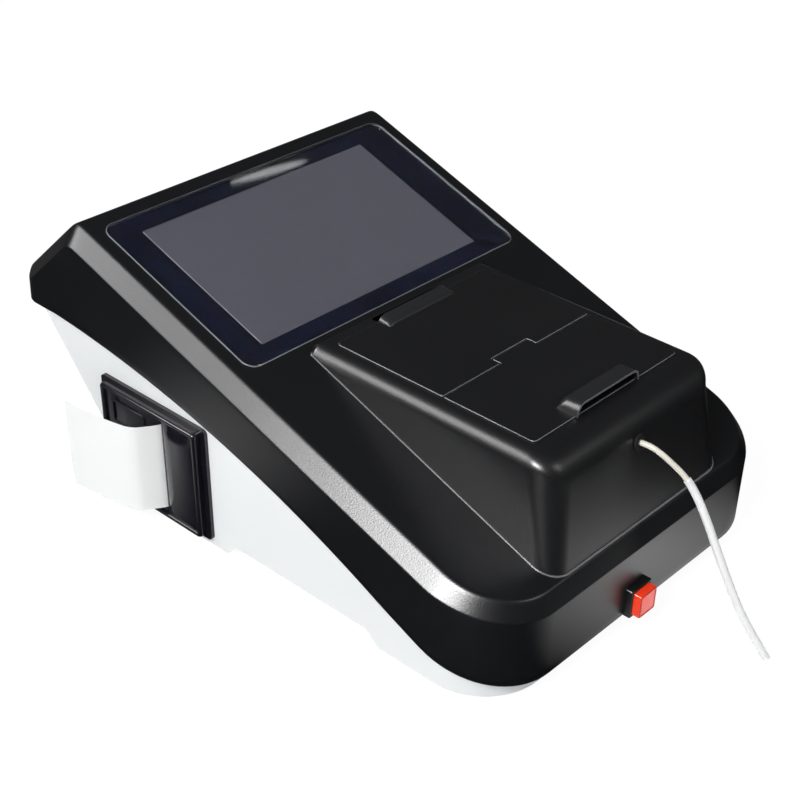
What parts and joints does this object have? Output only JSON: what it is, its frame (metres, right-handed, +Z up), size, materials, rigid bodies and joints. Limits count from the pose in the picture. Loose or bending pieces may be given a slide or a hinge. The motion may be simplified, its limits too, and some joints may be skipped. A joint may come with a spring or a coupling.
{
  "type": "biochemistry analyzer",
  "caption": "Benchtop biochemistry analyzer with a sloping touch screen, a black hood with two butterfly lids, a sipper tube, a push button and a side printer.",
  "frame": {"origin": "centre of the rear foot strip's face, on the bench and on the middle plane of the housing", "axes": "+X to the user's right, +Y to the back, +Z up; the user stands at -Y"},
  "size_m": [0.2775, 0.433, 0.1654],
  "materials": {
    "black_cover": "fine matte texture",
    "black_hood": "fine matte texture",
    "white_base": "satin moulded",
    "black_trim": "satin",
    "screen_glass": "polished",
    "display": "dim panel",
    "foam": "foam",
    "steel": "zinc plated",
    "aluminium": "machined",
    "rubber": "matte",
    "board": "solder mask",
    "tray": "moulded",
    "pump_body": "moulded",
    "roller": "turned",
    "clear_tube": "silicone tube",
    "white_tube": "smooth tube",
    "lens": "polished",
    "filter": "coated",
    "ceramic": "unglazed",
    "red": "translucent",
    "printer": "glossy",
    "paper": "thermal paper",
    "fan": "moulded"
  },
  "bodies": {
    "housing": {"top_cover": "black_cover", "base_housing": "white_base", "rubber_feet": "rubber", "cover_screws": "steel", "sample_hood": "black_hood", "hood_screws": "steel", "lid_hinge_pins": "steel", "screen_glass": "screen_glass", "display_gasket": "foam", "display_module": "display", "display_bracket": "steel", "board_standoffs": "steel", "main_board": "board", "board_screws": "steel", "bay_tray": "tray", "pump_housing": "pump_body", "pump_tube": "clear_tube", "pump_motor": "steel", "optics_bench": "aluminium", "lamp_house": "aluminium", "halogen_lamp": "ceramic", "lens_holder": "aluminium", "condenser_lens": "lens", "flow_cell_block": "aluminium", "flow_cell": "lens", "cell_inlet_tube": "clear_tube", "filter_motor_plate": "steel", "filter_motor": "steel", "detector_board": "board", "power_button_bezel": "black_trim", "button_switch": "black_trim", "tube_grommet": "rubber", "sipper_tube": "white_tube", "printer_frame": "printer", "printer_door_pin": "steel", "print_head": "ceramic", "fan_frame": "fan", "power_board": "board", "dc_inlet": "black_trim", "power_switch_body": "black_trim", "usb_ports": "steel", "serial_port": "steel"},
    "front_lid_body": {"front_lid": "black_hood", "front_lid_handle": "black_hood"},
    "rear_lid_body": {"rear_lid": "black_hood", "rear_lid_handle": "black_hood"},
    "button_body": {"power_button": "red"},
    "printer_door_body": {"printer_door": "printer", "paper_strip": "paper"},
    "platen_body": {"platen_roller": "rubber"},
    "paper_roll_body": {"paper_roll": "paper"},
    "filter_wheel_body": {"filter_wheel": "aluminium", "interference_filters": "filter"},
    "pump_rotor_body": {"pump_rotor": "steel", "pump_rollers": "roller"},
    "fan_body": {"fan_rotor": "fan"},
    "rocker_body": {"power_rocker": "black_trim"}
  },
  "joints": [
    {"name": "front_lid_hinge", "type": "hinge", "parent": "housing", "child": "front_lid_body", "pos_m": [0, -0.15465, 0.1224], "axis": [-1, 0, 0], "range_deg": [0, 80]},
    {"name": "rear_lid_hinge", "type": "hinge", "parent": "housing", "child": "rear_lid_body", "pos_m": [0, -0.14955, 0.1224], "axis": [1, 0, 0], "range_deg": [0, 80]},
    {"name": "button_push", "type": "slide", "parent": "housing", "child": "button_body", "axis": [0, 1, 0], "range_m": [0, 0.0025], "stiffness_N_per_m": 600, "springref_m": -0.002},
    {"name": "printer_door_hinge", "type": "hinge", "parent": "housing", "child": "printer_door_body", "pos_m": [-0.12545, 0.0386, 0.04231], "axis": [0.0436, 0, -0.999], "range_deg": [0, 60]},
    {"name": "platen_spin", "type": "hinge", "parent": "printer_door_body", "child": "platen_body", "pos_m": [-0.12006, -0.0032, 0.04255], "axis": [-0.0436, 0, 0.999], "continuous": true},
    {"name": "paper_roll_spin", "type": "hinge", "parent": "housing", "child": "paper_roll_body", "pos_m": [-0.09808, 0.016, 0.04351], "axis": [-0.0436, 0, 0.999], "continuous": true},
    {"name": "filter_wheel_spin", "type": "hinge", "parent": "housing", "child": "filter_wheel_body", "pos_m": [0.028, -0.185, 0.069], "axis": [1, 0, 0], "continuous": true},
    {"name": "pump_rotor_spin", "type": "hinge", "parent": "housing", "child": "pump_rotor_body", "pos_m": [0, -0.112, 0.09], "axis": [0, 0, 1], "continuous": true},
    {"name": "fan_spin", "type": "hinge", "parent": "housing", "child": "fan_body", "pos_m": [0, 0.073, 0.0715], "axis": [0, -0.7886, 0.6149], "continuous": true},
    {"name": "rocker_tip", "type": "hinge", "parent": "housing", "child": "rocker_body", "pos_m": [0.078, 0.0475, 0.024], "axis": [1, 0, 0], "range_deg": [-8, 8]}
  ]
}
